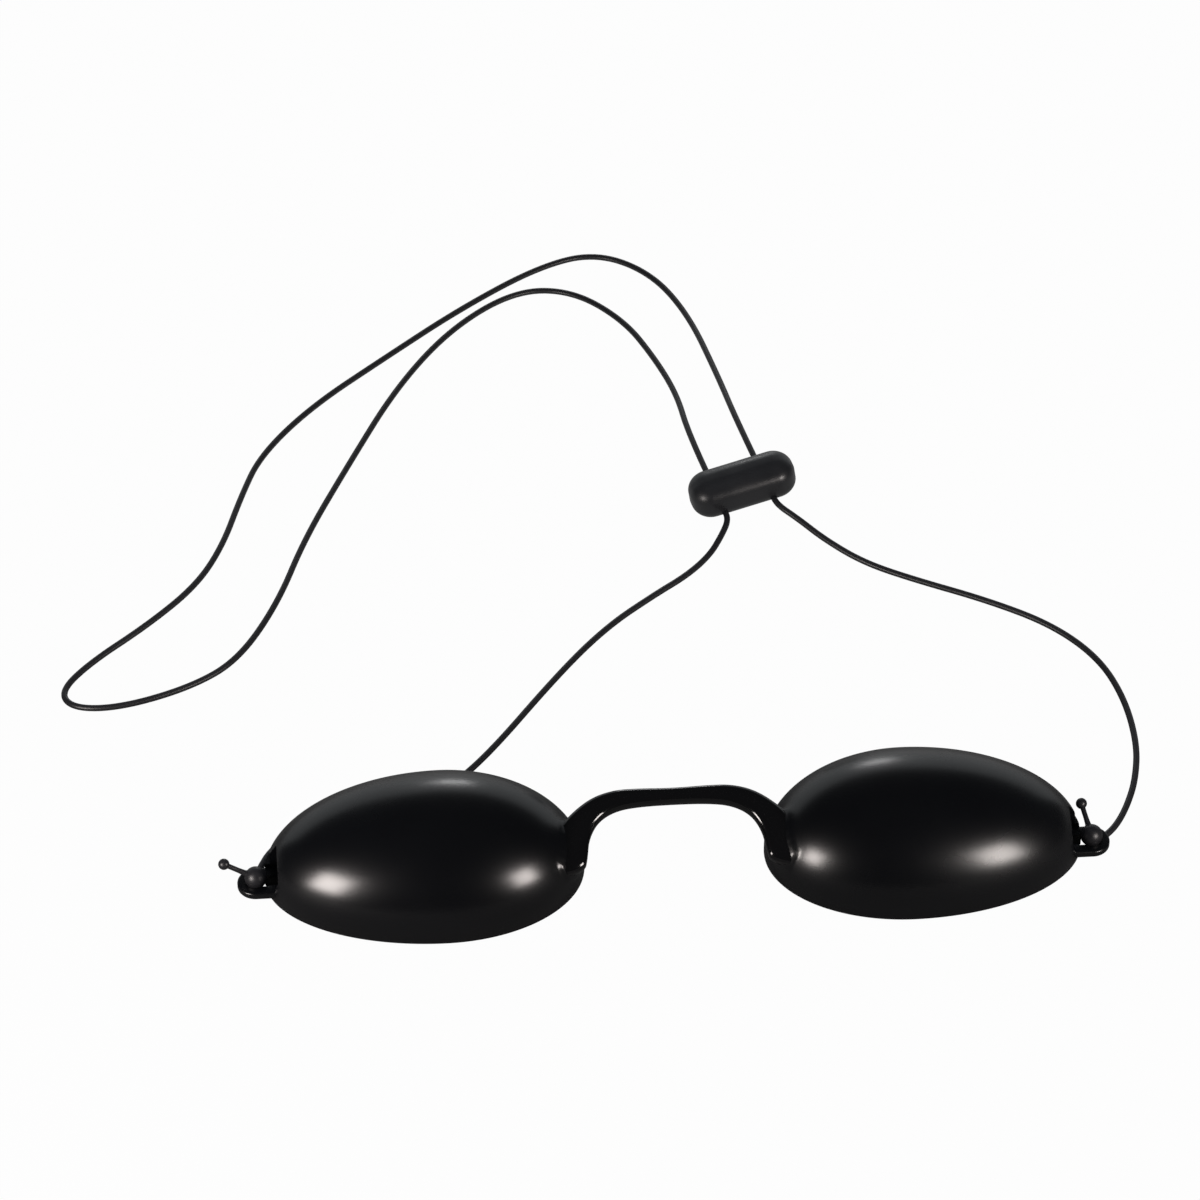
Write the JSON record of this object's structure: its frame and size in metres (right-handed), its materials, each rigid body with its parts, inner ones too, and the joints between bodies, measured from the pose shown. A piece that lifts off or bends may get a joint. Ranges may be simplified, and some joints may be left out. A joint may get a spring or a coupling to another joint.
{
  "type": "tanning goggles",
  "caption": "Two opaque domed eye cups joined by an arched nose bridge, on a thin round rubber cord with a sliding two-bore bead.",
  "frame": {"origin": "midway between the two cups on the plane of their rims, which is the table that the goggles lie on", "axes": "+X across the face towards the wearer's left temple, +Y towards the forehead, +Z away from the face"},
  "size_m": [0.1667, 0.1667, 0.0153],
  "materials": {
    "shell": "satin-gloss moulded black",
    "bridge": "gloss moulded black",
    "cord": "smooth extruded black rubber",
    "plug": "moulded black rubber",
    "lock": "matte dark grey rubber"
  },
  "bodies": {
    "goggles": {"left_cup": "shell", "right_cup": "shell", "nose_bridge": "bridge", "strap_cord": "cord"},
    "lock": {"cord_lock": "lock"},
    "left_plug": {"left_cord_plug": "plug"},
    "right_plug": {"right_cord_plug": "plug"}
  },
  "joints": [
    {"name": "cord_lock_slide", "type": "slide", "parent": "goggles", "child": "lock", "axis": [-0.1994, 0.9799, 0], "range_m": [0, 0.008]},
    {"name": "left_plug_swivel", "type": "hinge", "parent": "goggles", "child": "left_plug", "pos_m": [-0.063, -0.002, 0.003], "axis": [0, 0, 1], "range_deg": [-100, 130]},
    {"name": "right_plug_swivel", "type": "hinge", "parent": "goggles", "child": "right_plug", "pos_m": [0.063, -0.002, 0.003], "axis": [0, 0, 1], "range_deg": [-220, 5]}
  ]
}
